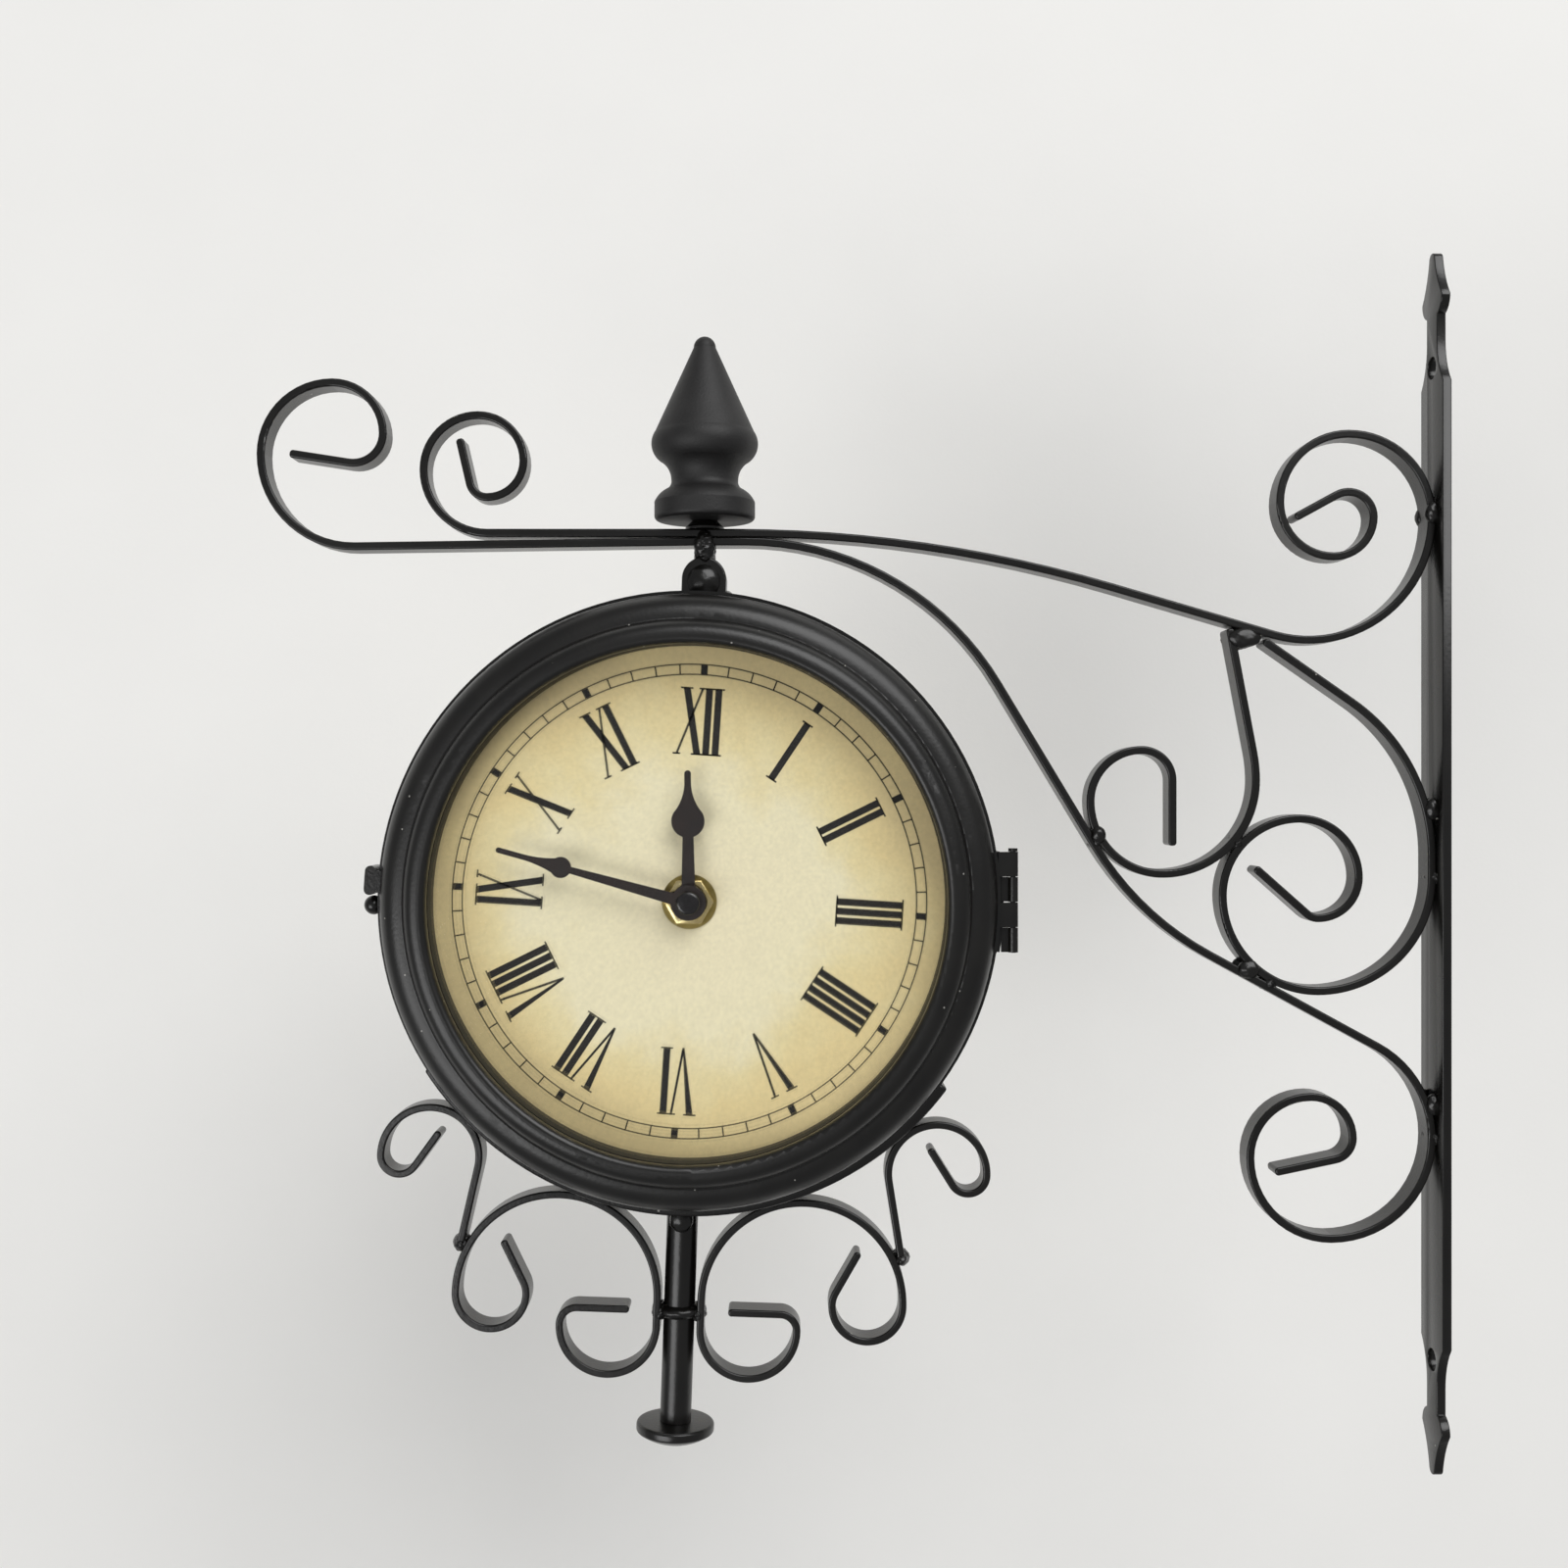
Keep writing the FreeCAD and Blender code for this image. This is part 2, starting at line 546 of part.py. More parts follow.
    slope_side = left_of((centre[0], centre[1] - size.small_step), slope, -inner - apart / 2)
    spots = [(seam, hook[1]), (seam, -size.heart_drop), (seam, -size.knee_drop),
             between(small_rise.point, heart_rise.point, 1 / 2), slope_side,
             between(centre, third, (size.small_radius + apart / 2) / spread),
             left_of(second, low_slope, -second_radius - apart / 2)]
    beads = [bead(f"bracket_bead_{number}", spot, "strip_width") for number, spot in enumerate(spots)]
    for side in (-1, 1):
        where = place(neck[0], side * size.strip_width / 2, lower - size.neck_bead_drop)
        beads.append(solid("Ellipsoid", f"neck_bead_{side + 1}", where, Radius1="neck_bead_height",
                           Radius2="neck_bead_width", Radius3="neck_bead_depth",
                           Angle1="0 - 90", Angle2="90", Angle3="360"))
    group(beads, "bracket_welds")


# Hanger: arched lug on the case, ball-headed bolt, collar and finial


def make_hanger():
    reach = (size.lug_width - size.lug_thick) / 2
    leg = ARCH - size.drum_radius + size.cut_overrun
    path = Path((-reach, ARCH - leg), QUARTER).straight(leg).bend(reach, -STRAIGHT).straight(leg)
    shapes = path.outline(size.lug_thick, size.edge_round * 1.6)
    body = padded("lug_arch", shapes, "lug_depth", hang(), "XZ_Plane", True, "edge_round")
    drill = solid("Cylinder", "lug_drill", place(NECK_X, 0, BALL_Z),
                  Radius="bolt_radius + bolt_gap", Height="lug_height")
    across = place(-size.head_reach, size.lug_depth, DIAL_Z, (1, 0, 0), QUARTER)
    saddle = solid("Cylinder", "lug_saddle", across,
                   Radius="drum_radius + fit_gap", Height="lug_depth * 2")
    keep(cut(body, fuse([drill, saddle], "lug_cuts"), "hanger_lug"), "hanger_lug")

    seat = size.arm_height + size.strip_thick / 2 + size.fit_gap
    base = seat + size.collar_height + size.fit_gap
    shank = math.sqrt(size.ball_radius ** 2 - size.bolt_radius ** 2)
    top = base + size.finial_bore_depth - size.fit_gap - BALL_Z
    shapes = outline((0, -size.ball_radius), ((size.ball_radius, 0), (size.bolt_radius, shank)),
                     (size.bolt_radius, top), (0, top))
    keep(turned("hanger_bolt", shapes, place(NECK_X, 0, BALL_Z)), "hanger_bolt")

    bore = size.bolt_radius + size.bolt_gap
    shapes = outline((bore, 0), (size.collar_radius, 0), (size.collar_radius, size.collar_edge),
                     (size.collar_top_radius, size.collar_height), (bore, size.collar_height))
    keep(turned("finial_collar", shapes, place(NECK_X, 0, seat)), "finial_collar")

    wide = size.finial_base_radius
    soft = size.finial_base_round
    shoulder = (size.finial_shoulder_radius, size.finial_shoulder_height)
    neck = (size.finial_neck_radius, size.finial_neck_height)
    cove = (size.finial_cove_radius, size.finial_cove_height)
    belly = (size.finial_belly_radius, size.finial_belly_height)
    cone = (size.finial_cone_radius, size.finial_cone_height)
    rim = (wide, size.finial_base_height)
    tip = (size.finial_tip_radius, size.finial_height - size.finial_tip_radius)
    shapes = outline((bore, 0), (wide - soft, 0), (round_corner((wide, 0), (-1, 1), soft), (wide, soft)), rim,
                     (within(rim, shoulder, SHOULDER_SHARES), shoulder), (within(shoulder, neck, NECK_SHARES), neck),
                     (within(neck, cove, COVE_SHARES), cove), (belly, cone), tip, dome(tip, size.finial_tip_radius),
                     (0, size.finial_bore_depth), (bore, size.finial_bore_depth))
    keep(turned("finial", shapes, place(NECK_X, 0, base)), "finial")


# Case drum, the cradle strap round its lower half, and the ornament welded under it


def make_case():
    flat = place(-size.head_reach, 0, DIAL_Z, (1, 0, 0), QUARTER)
    shapes = circle(size.drum_radius) + circle(size.drum_radius - size.drum_wall)
    keep(padded("case_drum", shapes, "drum_depth", flat, centred=True), "case_drum")
    near = size.drum_radius + size.fit_gap
    down = -QUARTER - size.head_swing
    shapes = sector(near, near + size.strap_thick, down - size.strap_half_turn, down + size.strap_half_turn)
    keep(padded("cradle_strap", shapes, "strap_width", flat, centred=True), "cradle_strap")


def make_ornament():
    head = hang()
    thick = size.scroll_thick
    strap = size.drum_radius + size.fit_gap + size.strap_thick
    reach = strap + size.weld_gap + thick / 2
    centre = (size.inner_offset, -math.sqrt((reach + size.inner_radius) ** 2 - size.inner_offset ** 2))
    ring = on_circle((0, 0), reach + size.outer_radius, -size.outer_place_turn)
    joint = on_circle(centre, size.inner_radius + thick + size.weld_gap, size.outer_foot_turn)
    heading, length = common_tangent(joint, 0, ring, -size.outer_radius)
    post_side = (centre[0] - size.inner_radius, centre[1])
    spots = [between((0, 0), centre, strap / (reach + size.inner_radius)), joint,
             between((0, 0), ring, strap / (reach + size.outer_radius)),
             ((size.post_radius + post_side[0]) / 2, centre[1] - size.inner_run / 2)]
    beads = []
    for side, sense in (("right", 1), ("left", -1)):
        start = (sense * post_side[0], post_side[1])
        curl = Path(start, -QUARTER).straight(size.inner_run).bend(size.inner_curl_radius, sense * STRAIGHT)
        curl.bend(size.inner_end_radius, sense * QUARTER).straight(size.inner_tail)
        over = Path(start, QUARTER).bend(size.inner_radius, -sense * STRAIGHT)
        over.bend(size.inner_top_radius, -sense * STRAIGHT)
        over.bend(size.inner_top_end_radius, -sense * size.inner_top_end_turn).straight(size.inner_top_tail)
        label = side + "_inner_scroll"
        keep(strip(label, curl.joined(over), thick, "scroll_width", head), label)

        first = heading if sense > 0 else STRAIGHT - heading
        path = Path((sense * joint[0], joint[1]), first).straight(length)
        path.bend(size.outer_radius, -sense * (heading + QUARTER))
        path.bend(size.outer_end_radius, -sense * size.outer_end_turn).straight(size.outer_tail)
        label = side + "_outer_scroll"
        keep(strip(label, path, thick, "scroll_width", head), label)
        for number, (x, z) in enumerate(spots):
            beads.append(bead(f"{side}_bead_{number}", hung(sense * x, z), "scroll_width"))
    group(beads, "ornament_welds")

    rod = solid("Cylinder", "post_rod", hang(z=-size.post_drop),
                Radius="post_radius", Height="post_drop - drum_radius")
    saddle = solid("Cylinder", "post_saddle",
                   place(-size.head_reach, size.strap_width / 2, DIAL_Z, (1, 0, 0), QUARTER),
                   Radius="drum_radius + fit_gap * 2 + strap_thick", Height="strap_width")
    keep(cut(rod, saddle, "pendant_post"), "pendant_post")
    wide = size.foot_radius
    edge = size.foot_edge
    rim = (wide, -size.foot_rim)
    shapes = outline((0, 0), (wide - edge, 0), (wide, -edge), rim, dome(rim, -size.foot_dome))
    keep(turned("post_foot", shapes, hang(z=-size.post_drop - size.fit_gap)), "post_foot")


# Dial sides. Heights are measured outwards from the middle of the drum

RIM = size.drum_depth / 2
DIAL_FACE = RIM - size.dial_recess
DIAL_BACK = DIAL_FACE - size.dial_thick
MOVEMENT_FRONT = DIAL_BACK - size.rubber_thick
MOVEMENT_BACK = MOVEMENT_FRONT - size.movement_depth
NUT_BASE = DIAL_FACE + size.washer_thick
STEM_FOOT = MOVEMENT_FRONT - size.stem_root
DOOR_BASE = RIM + size.door_gap
STEM_LENGTH = "stem_root + rubber_thick + dial_thick + washer_thick + nut_thick + stem_proud"
PIPE_LENGTH = STEM_LENGTH + " + pipe_root + hand_lift + hand_thick + pipe_proud"
ARBOR_LENGTH = STEM_LENGTH + " + pipe_root + arbor_root + hand_lift + hand_thick * 2 + hand_space + arbor_proud"
HOUR_BASE = NUT_BASE + size.nut_thick + size.stem_proud + size.hand_lift
MINUTE_BASE = HOUR_BASE + size.hand_thick + size.hand_space
CAP_BASE = MINUTE_BASE + size.hand_thick


def on_face(side, x=0.0, y=0.0, z=0.0, axis=(0, 0, 1), turn=0.0):
    """Place in the frame of one dial: X to the viewer's right, Y up, Z out of the dial."""
    face = place(-size.head_reach, 0, DIAL_Z, (0, 0, 1), 0 if side == "front" else STRAIGHT)
    face = face.multiply(place(axis=(1, 0, 0), turn=QUARTER))
    return face.multiply(place(x, y, z, axis, turn))


def ring(name, side, radius, bore, length, base):
    return padded(f"{side}_{name}", circle(radius) + circle(bore), length, on_face(side, z=base))


def screw_spots():
    return [on_circle((0, 0), size.screw_circle, -QUARTER + FULL * turn / SCREWS) for turn in range(SCREWS)]


def make_seat(side):
    outer = size.drum_radius - size.drum_wall - size.fit_gap
    shapes = circle(outer) + circle(outer - size.seat_width)
    for spot in screw_spots():
        shapes += circle(size.screw_radius + size.fit_gap, spot)
    return padded(side + "_seat", shapes, "seat_thick", on_face(side, z=DIAL_BACK - size.seat_thick))


def make_dial(side):
    shapes = circle(size.dial_radius) + circle(size.stem_radius + size.fit_gap)
    for spot in screw_spots():
        shapes += circle(size.screw_radius + size.fit_gap, spot)
    keep(padded(side + "_dial", shapes, "dial_thick", on_face(side, z=DIAL_BACK)), side + "_dial")


def make_screws(side):
    head = (size.screw_head_radius, 0)
    shapes = outline((0, -size.screw_length), (size.screw_radius, -size.screw_length), (size.screw_radius, 0),
                     head, dome(head, size.screw_head_height))
    return [turned(f"{side}_screw_{number}", shapes, on_face(side, x, y, DIAL_FACE))
            for number, (x, y) in enumerate(screw_spots())]


def make_movement(side):
    half = size.movement_width / 2
    shapes = rounded_square(size.movement_width, size.movement_corner)
    box = padded(side + "_housing", shapes, "movement_depth", on_face(side, z=MOVEMENT_BACK), soft="movement_edge")
    behind = MOVEMENT_BACK - size.cut_overrun
    bay = solid("Box", side + "_bay", on_face(side, -size.bay_length / 2, size.bay_wall - half, behind),
                Length="bay_length", Width="bay_height", Height="bay_depth + cut_overrun")
    bore_foot = STEM_FOOT - size.pipe_root - size.arbor_root - size.bore_clear
    bore = solid("Cylinder", side + "_stem_bore", on_face(side, z=bore_foot), Radius="stem_radius + fit_gap",
                 Height="stem_root + pipe_root + arbor_root + bore_clear + cut_overrun")
    sink = solid("Cylinder", side + "_knob_sink", on_face(side, size.knob_right, size.knob_up, behind),
                 Radius="knob_radius + knob_gap", Height="knob_sink * 2 + knob_height + cut_overrun")
    hole = solid("Cylinder", side + "_knob_hole", on_face(side, size.knob_right, size.knob_up, behind),
                 Radius="knob_shaft_radius + run_gap",
                 Height="knob_sink * 2 + knob_height + knob_shaft_length + cut_overrun")
    label = side + "_movement"
    keep(cut(box, fuse([bay, bore, sink, hole], side + "_hollows"), label), label)


def make_knob(side):
    base = MOVEMENT_BACK + size.knob_sink
    where = on_face(side, size.knob_right, size.knob_up, base)
    disc = solid("Cylinder", side + "_knob_disc", where, Radius="knob_radius", Height="knob_height")
    shaft = solid("Cylinder", side + "_knob_shaft", where, Radius="knob_shaft_radius",
                  Height="knob_height + knob_shaft_length")
    flutes = []
    for number in range(FLUTES):
        x, y = on_circle((size.knob_right, size.knob_up), size.knob_radius, FULL * number / FLUTES)
        flutes.append(solid("Cylinder", f"{side}_flute_{number}", on_face(side, x, y, base - size.cut_overrun),
                            Radius="flute_radius", Height="knob_height + cut_overrun * 2"))
    fluted = cut(disc, fuse(flutes, side + "_flutes"), side + "_fluted")
    keep(fuse([fluted, shaft], side + "_setting_knob"), side + "_setting_knob")


def make_battery(side):
    up = size.bay_wall + size.bay_height / 2 - size.movement_width / 2
    out = MOVEMENT_BACK + size.bay_depth / 2
    radius = size.cell_radius
    edge = size.cell_edge
    foot = -(size.cell_length + size.cell_cap_length) / 2
    top = foot + size.cell_length
    cap = size.cell_cap_radius
    shapes = outline((0, foot), (radius - edge, foot), (radius, foot + edge), (radius, top - edge),
                     (radius - edge, top), (cap, top), (cap, -foot), (0, -foot))
    cell = turned(side + "_cell", shapes, on_face(side, 0, up, out, (0, 1, 0), QUARTER))
    contacts = []
    low = size.contact_width / 2
    for number, x in enumerate((-size.bay_length / 2, size.bay_length / 2 - size.contact_thick)):
        contacts.append(solid("Box", f"{side}_contact_{number}", on_face(side, x, up - low, out - low),
                              Length="contact_thick", Width="contact_width", Height="contact_width"))
    return cell, contacts


def make_nut(side):
    across = size.nut_flats / 2 / math.cos(math.pi / NUT_CORNERS)
    corners = [on_circle((0, 0), across, FULL * number / NUT_CORNERS) for number in range(NUT_CORNERS)]
    shapes = outline(*corners) + circle(size.stem_radius + size.fit_gap)
    return padded(side + "_nut", shapes, "nut_thick", on_face(side, z=NUT_BASE))


def hand_outline(length, root, waist, bulb, bulb_place, tip, tip_run):
    """Hand pointing up: round hub, tapered shank, round bulb and a drawn-out point."""
    hub = size.hub_radius
    foot = (root / 2, math.sqrt(hub ** 2 - (root / 2) ** 2))
    low = (waist / 2, bulb_place - math.sqrt(bulb ** 2 - (waist / 2) ** 2))
    high = on_circle((0, bulb_place), bulb, QUARTER / 2)
    neck = (tip, length - tip_run)
    end = (tip, length - tip)
    pinch = within(neck, high, POINT_SHARES)

    def left(spot):
        return -spot[0], spot[1]

    return outline(foot, low, ((bulb, bulb_place), high), (pinch, neck), end, ((0, length), left(end)), left(neck),
                   (left(pinch), left(high)), ((-bulb, bulb_place), left(low)), left(foot), ((0, -hub), foot))


def make_hands(side):
    bore = size.arbor_radius + size.run_gap
    shapes = circle(size.pipe_radius) + circle(bore)
    foot = STEM_FOOT - size.pipe_root
    keep(padded(side + "_hour_pipe", shapes, PIPE_LENGTH, on_face(side, z=foot)), side + "_hour_pipe")
    shapes = hand_outline(size.hour_length, size.hour_root_width, size.hour_waist_width, size.hour_bulb_radius,
                          size.hour_bulb_place, size.hour_tip_radius, size.hour_tip_run)
    shapes += circle(size.pipe_radius + size.press_gap)
    where = on_face(side, z=HOUR_BASE, turn=size.hour_turn)
    keep(padded(side + "_hour_hand", shapes, "hand_thick", where), side + "_hour_hand")

    arbor = solid("Cylinder", side + "_arbor", on_face(side, z=foot - size.arbor_root),
                  Radius="arbor_radius", Height=ARBOR_LENGTH)
    keep(arbor, side + "_minute_arbor")
    shapes = hand_outline(size.minute_length, size.minute_root_width, size.minute_waist_width,
                          size.minute_bulb_radius, size.minute_bulb_place, size.minute_tip_radius,
                          size.minute_tip_run)
    shapes += circle(size.arbor_radius + size.press_gap)
    where = on_face(side, z=MINUTE_BASE, turn=size.minute_turn)
    keep(padded(side + "_minute_hand", shapes, "hand_thick", where), side + "_minute_hand")

    wide = size.cap_radius
    high = size.cap_height
    soft = size.cap_round
    hollow = size.arbor_radius + size.press_gap
    deep = size.arbor_proud + size.press_gap
    bow = round_corner((wide, high), (-1, -1), soft)
    shapes = outline((hollow, 0), (wide, 0), (wide, high - soft), (bow, (wide - soft, high)), (0, high),
                     (0, deep), (hollow, deep))
    keep(turned(side + "_hand_cap", shapes, on_face(side, z=CAP_BASE)), side + "_hand_cap")


def make_door(side):
    path = Path((size.bezel_radius - size.bezel_sheet / 2, DOOR_BASE), QUARTER).straight(size.bezel_rim)
    path.bend(size.roll_radius, QUARTER)
    valley = path.point[1] - size.bezel_sheet / 2
    path.bend(size.cove_radius, -size.cove_turn).straight(size.cove_rise)
    path.bend(size.crown_radius, size.cove_turn).straight(size.crown_flat)
    path.bend(size.lip_radius, QUARTER).straight(size.lip_depth)
    shapes = path.outline(size.bezel_sheet, size.sheet_round)
    keep(turned(side + "_bezel", shapes, on_face(side)), side + "_bezel")

    lip = path.point[0]
    wide = lip + size.glass_lap
    thick = size.glass_thick
    edge = size.glass_edge
    base = path.point[1] - size.fit_gap - thick
    shapes = outline((0, 0), (wide - edge, 0), (wide, edge), (wide, thick - edge), (wide - edge, thick), (0, thick))
    keep(turned(side + "_glass", shapes, on_face(side, z=base)), side + "_glass")

    low = DIAL_FACE + size.ring_lift
    top = min(base, valley) - size.fit_gap
    wall = size.ring_radius + size.ring_wall
    shapes = outline((size.ring_radius, low), (wall, low), (wall, top - size.ring_flange),
                     (lip + size.ring_lap, top - size.ring_flange), (lip + size.ring_lap, top),
                     (size.ring_radius, top))
    keep(turned(side + "_glass_ring", shapes, on_face(side)), side + "_glass_ring")


def make_leaf(side, name, first, near, depth, base, web_base):
    """Curved hinge leaf whose knuckles, every second one of the hinge, stand on short webs."""
    pitch = size.knuckle_length + size.knuckle_gap
    top = (pitch * KNUCKLES - size.knuckle_gap) / 2
    spread = math.degrees(top / near)
    label = f"{side}_{name}"
    shapes = sector(near, near + size.leaf_thick, -spread, spread)
    pieces = [padded(label + "_plate", shapes, depth, on_face(side, z=base))]
    root = near + size.leaf_thick / 4
    for number in range(first, KNUCKLES, 2):
        foot = top - pitch * number - size.knuckle_length
        pieces.append(solid("Cylinder", f"{label}_knuckle_{number}",
                            on_face(side, size.hinge_reach, foot, RIM, (1, 0, 0), -QUARTER),
                            Radius="knuckle_radius", Height="knuckle_length"))
        web = solid("Box", f"{label}_web_{number}", on_face(side, root, foot, web_base),
                    Width="knuckle_length", Height="web_thick")
        web.Length = size.hinge_reach - root
        pieces.append(web)
    bore = solid("Cylinder", label + "_bore", on_face(side, size.hinge_reach, -pitch * KNUCKLES, RIM, (1, 0, 0), -QUARTER),
                 Radius="pin_radius + run_gap", Height=f"(knuckle_length + knuckle_gap) * {KNUCKLES * 2}")
    keep(cut(fuse(pieces, label + "_solid"), bore, label), label)


def make_hinge(side):
    near = size.drum_radius + size.fit_gap / 2
    base = RIM - size.leaf_gap - size.leaf_depth
    make_leaf(side, "case_leaf", 1, near, "leaf_depth", base, RIM - size.door_gap - size.web_thick)
    near = size.bezel_radius + size.fit_gap / 2
    make_leaf(side, "door_leaf", 0, near, "door_leaf_depth", RIM + size.leaf_gap, DOOR_BASE)
    pitch = size.knuckle_length + size.knuckle_gap
    top = pitch * KNUCKLES / 2
    shapes = outline((0, -top), (size.pin_radius, -top), (size.pin_radius, top), (size.pin_head_radius, top),
                     (size.pin_head_radius, top + size.pin_head), (0, top + size.pin_head))
    where = on_face(side, size.hinge_reach, 0, RIM, (1, 0, 0), -QUARTER)
    keep(turned(side + "_hinge_pin", shapes, where), side + "_hinge_pin")


def make_latch(side):
    near = size.drum_radius + size.tab_gap
    far = near + size.tab_thick
    low = size.tab_lift + size.tab_thick / 2
    high = size.tab_lift + size.tab_height - size.tab_thick / 2
    middle = (near + far) / 2

    def spot(radius, height):
        return -math.sqrt(radius ** 2 - height ** 2), height

    centre = (low + high) / 2
    shapes = outline(spot(near, low), (spot(near, centre), spot(near, high)),
                     (spot(middle, high + size.tab_thick / 2), spot(far, high)),
                     (spot(far, centre), spot(far, low)), (spot(middle, low - size.tab_thick / 2), spot(near, low)))
    top = RIM + size.leaf_gap + size.door_leaf_depth
    lobe = padded(side + "_tab_lobe", shapes, "tab_depth", on_face(side, z=top - size.tab_depth))
    root = size.bezel_radius + size.fit_gap / 2
    shapes = sector(root, middle, STRAIGHT - math.degrees(high / root), STRAIGHT - math.degrees(low / root))
    foot = padded(side + "_tab_foot", shapes, "door_leaf_depth", on_face(side, z=RIM + size.leaf_gap))
    keep(fuse([lobe, foot], side + "_latch_tab"), side + "_latch_tab")

    ball = solid("Sphere", side + "_stud_ball",
                 on_face(side, -size.drum_radius - size.stud_lift, -size.stud_drop, RIM - size.stud_depth), Radius="stud_radius")
    drum = solid("Cylinder", side + "_stud_seat", on_face(side), Radius="drum_radius + fit_gap", Height="drum_depth / 2")
    keep(cut(ball, drum, side + "_latch_stud"), side + "_latch_stud")


make_wall_bar()
make_bracket()
make_hanger()
make_case()
make_ornament()
for side in SIDES:
    make_dial(side)
    make_movement(side)
    make_knob(side)
    make_hands(side)
    make_door(side)
    make_hinge(side)
    make_latch(side)
bore = size.stem_radius + size.fit_gap
group([make_seat(side) for side in SIDES], "dial_seats")
group([screw for side in SIDES for screw in make_screws(side)], "dial_screws")
cells = [make_battery(side) for side in SIDES]
group([cell for cell, _ in cells], "batteries")
group([contact for _, contacts in cells for contact in contacts], "battery_contacts")
group([ring("stem", side, size.stem_radius, size.pipe_radius + size.run_gap, STEM_LENGTH, STEM_FOOT)
       for side in SIDES], "dial_stems")
group([ring("rubber", side, size.rubber_radius, bore, "rubber_thick", MOVEMENT_FRONT) for side in SIDES],
      "rubber_washers")
group([ring("washer", side, size.washer_radius, bore, "washer_thick", DIAL_FACE) for side in SIDES],
      "brass_washers")
group([make_nut(side) for side in SIDES], "dial_nuts")
doc.recompute()

failed = [thing.Name for thing in doc.Objects if {"Invalid", "Error"} & set(thing.State)]
unsound = [label for label, thing in subparts.items() if thing.Shape.isNull() or not thing.Shape.isValid()]
if failed or unsound:
    raise RuntimeError(f"failed: {failed}, unsound: {unsound}")
os.makedirs("parts", exist_ok=True)
for label, thing in subparts.items():
    thing.Shape.exportStep(os.path.join("parts", label + ".step"))
print(len(subparts), "pieces written")
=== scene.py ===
import json
import math
import bpy
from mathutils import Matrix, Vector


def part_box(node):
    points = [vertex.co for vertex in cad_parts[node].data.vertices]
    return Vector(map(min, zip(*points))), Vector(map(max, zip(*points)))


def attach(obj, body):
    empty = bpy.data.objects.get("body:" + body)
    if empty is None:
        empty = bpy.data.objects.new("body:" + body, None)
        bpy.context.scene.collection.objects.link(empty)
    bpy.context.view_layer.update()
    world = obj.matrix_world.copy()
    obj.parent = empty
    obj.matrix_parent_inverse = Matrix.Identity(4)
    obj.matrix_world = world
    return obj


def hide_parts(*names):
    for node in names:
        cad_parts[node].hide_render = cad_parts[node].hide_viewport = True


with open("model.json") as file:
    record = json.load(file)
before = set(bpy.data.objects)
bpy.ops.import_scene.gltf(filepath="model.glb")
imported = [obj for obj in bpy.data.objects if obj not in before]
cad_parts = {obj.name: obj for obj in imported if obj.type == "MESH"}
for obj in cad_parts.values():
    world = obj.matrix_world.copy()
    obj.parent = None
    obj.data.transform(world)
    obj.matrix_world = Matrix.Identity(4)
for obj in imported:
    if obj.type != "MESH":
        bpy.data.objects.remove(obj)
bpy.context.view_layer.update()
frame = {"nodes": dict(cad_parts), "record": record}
nodes = frame["nodes"]
MM = 0.001
# The axis that both dials share
AXIS_X = -202 * MM
AXIS_Z = -8.7 * MM
SIDES = ("front", "rear")


# Camera: level, square to the bracket, at the height of the upper half of the clock

camera = bpy.data.objects.new("camera", bpy.data.cameras.new("camera"))
bpy.context.scene.collection.objects.link(camera)
camera.location = (-177.6 * MM, -477 * MM, 21.6 * MM)
camera.rotation_euler = (math.pi / 2, 0, 0)
camera.data.sensor_width = 36
camera.data.lens = 40.5
camera.data.clip_start = 0.01
bpy.context.scene.camera = camera
bpy.context.scene.view_settings.view_transform = "Standard"


# Materials

def linear(code):
    """An sRGB hex colour as linear light."""
    parts = [int(code[at:at + 2], 16) / 255 for at in (1, 3, 5)]
    return [part / 12.92 if part <= 0.04045 else ((part + 0.055) / 1.055) ** 2.4 for part in parts] + [1.0]


def add(tree, kind, sockets, **settings):
    """A node with its settings. Each socket gets a value, or the output that feeds it."""
    made = tree.nodes.new(kind)
    for name, value in settings.items():
        setattr(made, name, value)
    for name, value in sockets.items():
        if isinstance(value, bpy.types.NodeSocket):
            tree.links.new(value, made.inputs[name])
        else:
            made.inputs[name].default_value = value
    return made


def noise(tree, place, grain, detail, **sockets):
    """Cloudy noise with a grain in millimetres."""
    sockets.update({"Vector": place, "Scale": 1 / (grain * MM), "Detail": detail})
    return add(tree, "ShaderNodeTexNoise", sockets).outputs["Fac"]


def spread(tree, value, low, high, start=0.3, end=0.7):
    """A value from the range of start to end, carried over to the range of low to high."""
    sockets = {"Value": value, "From Min": start, "From Max": end, "To Min": low, "To Max": high}
    return add(tree, "ShaderNodeMapRange", sockets).outputs["Result"]


def maths(tree, operation, *values):
    """One step of arithmetic on values or outputs."""
    sockets = dict(enumerate(values))
    return add(tree, "ShaderNodeMath", sockets, operation=operation).outputs[0]


def ramp(tree, value, stops):
    """A colour for each value, blended between stops given as a position and a hex colour."""
    made = add(tree, "ShaderNodeValToRGB", {"Fac": value})
    elements = made.color_ramp.elements
    for number, (position, code) in enumerate(stops):
        stop = elements[number] if number < len(elements) else elements.new(position)
        stop.position = position
        stop.color = linear(code)
    return made.outputs["Color"]


def finish_named(name, **settings):
    """A new material: its node tree, its shader and the place on the piece."""
    made = bpy.data.materials.new(name)
    made.use_nodes = True
    tree = made.node_tree
    shader = tree.nodes["Principled BSDF"]
    for socket, value in settings.items():
        shader.inputs[socket.replace("_", " ")].default_value = value
    place = add(tree, "ShaderNodeTexCoord", {}).outputs["Object"]
    return made, tree, shader, place


